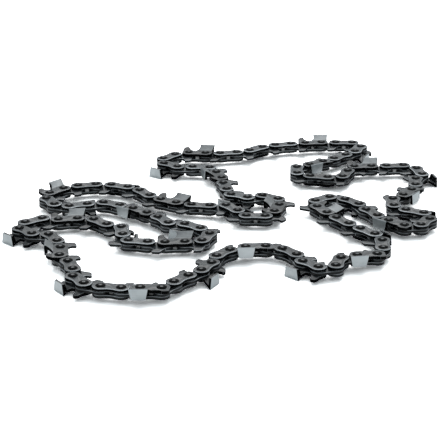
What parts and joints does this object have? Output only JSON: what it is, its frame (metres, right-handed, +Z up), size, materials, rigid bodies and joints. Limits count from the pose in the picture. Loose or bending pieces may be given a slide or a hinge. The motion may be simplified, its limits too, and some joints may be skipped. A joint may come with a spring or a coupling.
{
  "type": "chainsaw chain",
  "caption": "Closed loop of saw chain lying on its side in loose folds: drive links with tangs, tie straps, rivets and alternating cutters with depth gauges.",
  "frame": {"origin": "middle of the loop's bounding box, on the surface that it lies on", "axes": "+X to the right and +Y away from the viewer in the picture, +Z up along the rivets"},
  "size_m": [0.24, 0.2334, 0.01],
  "materials": {
    "drive_link": "blackened",
    "tie_strap": "blackened satin, rubbed edges",
    "cutter": "satin plated cutting plate on a blackened strap",
    "rivet": "blackened"
  },
  "bodies": {
    "back_finger_first_side": {"back_finger_first_side_cutters": "cutter", "back_finger_first_side_drive_links": "drive_link", "back_finger_first_side_rivets": "rivet", "back_finger_first_side_tie_straps": "tie_strap"},
    "back_finger_second_side": {"back_finger_second_side_drive_links": "drive_link", "back_finger_second_side_rivets": "rivet", "back_finger_second_side_tie_straps": "tie_strap"},
    "back_finger_tip": {"back_finger_tip_cutters": "cutter", "back_finger_tip_drive_links": "drive_link", "back_finger_tip_rivets": "rivet", "back_finger_tip_tie_straps": "tie_strap"},
    "left_end_first_side": {"left_end_first_side_drive_links": "drive_link", "left_end_first_side_rivets": "rivet", "left_end_first_side_tie_straps": "tie_strap"},
    "left_end_second_side": {"left_end_second_side_cutters": "cutter", "left_end_second_side_drive_links": "drive_link", "left_end_second_side_rivets": "rivet", "left_end_second_side_tie_straps": "tie_strap"},
    "left_end_tip": {"left_end_tip_cutters": "cutter", "left_end_tip_drive_links": "drive_link", "left_end_tip_rivets": "rivet", "left_end_tip_tie_straps": "tie_strap"},
    "left_finger_first_side": {"left_finger_first_side_cutters": "cutter", "left_finger_first_side_drive_links": "drive_link", "left_finger_first_side_rivets": "rivet", "left_finger_first_side_tie_straps": "tie_strap"},
    "left_finger_second_side": {"left_finger_second_side_cutters": "cutter", "left_finger_second_side_drive_links": "drive_link", "left_finger_second_side_rivets": "rivet", "left_finger_second_side_tie_straps": "tie_strap"},
    "left_finger_tip": {"left_finger_tip_cutters": "cutter", "left_finger_tip_drive_links": "drive_link", "left_finger_tip_rivets": "rivet", "left_finger_tip_tie_straps": "tie_strap"},
    "main_run": {"main_run_cutters": "cutter", "main_run_drive_links": "drive_link", "main_run_rivets": "rivet", "main_run_tie_straps": "tie_strap"},
    "middle_finger_first_side": {"middle_finger_first_side_drive_links": "drive_link", "middle_finger_first_side_rivets": "rivet", "middle_finger_first_side_tie_straps": "tie_strap"},
    "middle_finger_second_side": {"middle_finger_second_side_drive_links": "drive_link", "middle_finger_second_side_rivets": "rivet", "middle_finger_second_side_tie_straps": "tie_strap"},
    "middle_finger_tip": {"middle_finger_tip_cutters": "cutter", "middle_finger_tip_drive_links": "drive_link", "middle_finger_tip_rivets": "rivet", "middle_finger_tip_tie_straps": "tie_strap"}
  },
  "joints": [
    {"name": "middle_finger_root_rivet", "type": "hinge", "parent": "main_run", "child": "middle_finger_first_side", "pos_m": [0.06195, -0.02694, 0.00498], "axis": [0, 0, 1], "range_deg": [-15, 22]},
    {"name": "middle_finger_tip_rivet", "type": "hinge", "parent": "middle_finger_first_side", "child": "middle_finger_tip", "pos_m": [0.05155, -0.011, 0.00498], "axis": [0, 0, 1], "range_deg": [-22, 15]},
    {"name": "middle_finger_return_rivet", "type": "hinge", "parent": "middle_finger_tip", "child": "middle_finger_second_side", "pos_m": [0.07302, -0.00659, 0.00498], "axis": [0, 0, 1], "range_deg": [-15, 22]},
    {"name": "back_finger_root_rivet", "type": "hinge", "parent": "main_run", "child": "back_finger_first_side", "pos_m": [-0.00593, 0.08759, 0.00498], "axis": [0, 0, 1], "range_deg": [-25, 15]},
    {"name": "back_finger_tip_rivet", "type": "hinge", "parent": "back_finger_first_side", "child": "back_finger_tip", "pos_m": [-0.02491, 0.08904, 0.00498], "axis": [0, 0, 1], "range_deg": [-15, 25]},
    {"name": "back_finger_return_rivet", "type": "hinge", "parent": "back_finger_tip", "child": "back_finger_second_side", "pos_m": [-0.03109, 0.06321, 0.00498], "axis": [0, 0, 1], "range_deg": [-25, 15]},
    {"name": "left_finger_root_rivet", "type": "hinge", "parent": "main_run", "child": "left_finger_first_side", "pos_m": [-0.04516, 0.01525, 0.00498], "axis": [0, 0, 1], "range_deg": [-20, 5]},
    {"name": "left_finger_tip_rivet", "type": "hinge", "parent": "left_finger_first_side", "child": "left_finger_tip", "pos_m": [-0.06773, 0.03239, 0.00498], "axis": [0, 0, 1], "range_deg": [-5, 20]},
    {"name": "left_finger_return_rivet", "type": "hinge", "parent": "left_finger_tip", "child": "left_finger_second_side", "pos_m": [-0.10114, 0.01897, 0.00498], "axis": [0, 0, 1], "range_deg": [-20, 5]},
    {"name": "left_end_root_rivet", "type": "hinge", "parent": "main_run", "child": "left_end_first_side", "pos_m": [-0.06567, -0.028, 0.00498], "axis": [0, 0, 1], "range_deg": [-6, 4]},
    {"name": "left_end_tip_rivet", "type": "hinge", "parent": "left_end_first_side", "child": "left_end_tip", "pos_m": [-0.08188, -0.01977, 0.00498], "axis": [0, 0, 1], "range_deg": [-4, 6]},
    {"name": "left_end_return_rivet", "type": "hinge", "parent": "left_end_tip", "child": "left_end_second_side", "pos_m": [-0.11084, -0.03397, 0.00498], "axis": [0, 0, 1], "range_deg": [-6, 4]}
  ],
  "couplings": [
    {"joint": "middle_finger_tip_rivet", "follows": "middle_finger_root_rivet", "ratio": -1},
    {"joint": "middle_finger_return_rivet", "follows": "middle_finger_root_rivet", "ratio": 1},
    {"joint": "back_finger_tip_rivet", "follows": "back_finger_root_rivet", "ratio": -1},
    {"joint": "back_finger_return_rivet", "follows": "back_finger_root_rivet", "ratio": 1},
    {"joint": "left_finger_tip_rivet", "follows": "left_finger_root_rivet", "ratio": -1},
    {"joint": "left_finger_return_rivet", "follows": "left_finger_root_rivet", "ratio": 1},
    {"joint": "left_end_tip_rivet", "follows": "left_end_root_rivet", "ratio": -1},
    {"joint": "left_end_return_rivet", "follows": "left_end_root_rivet", "ratio": 1}
  ]
}
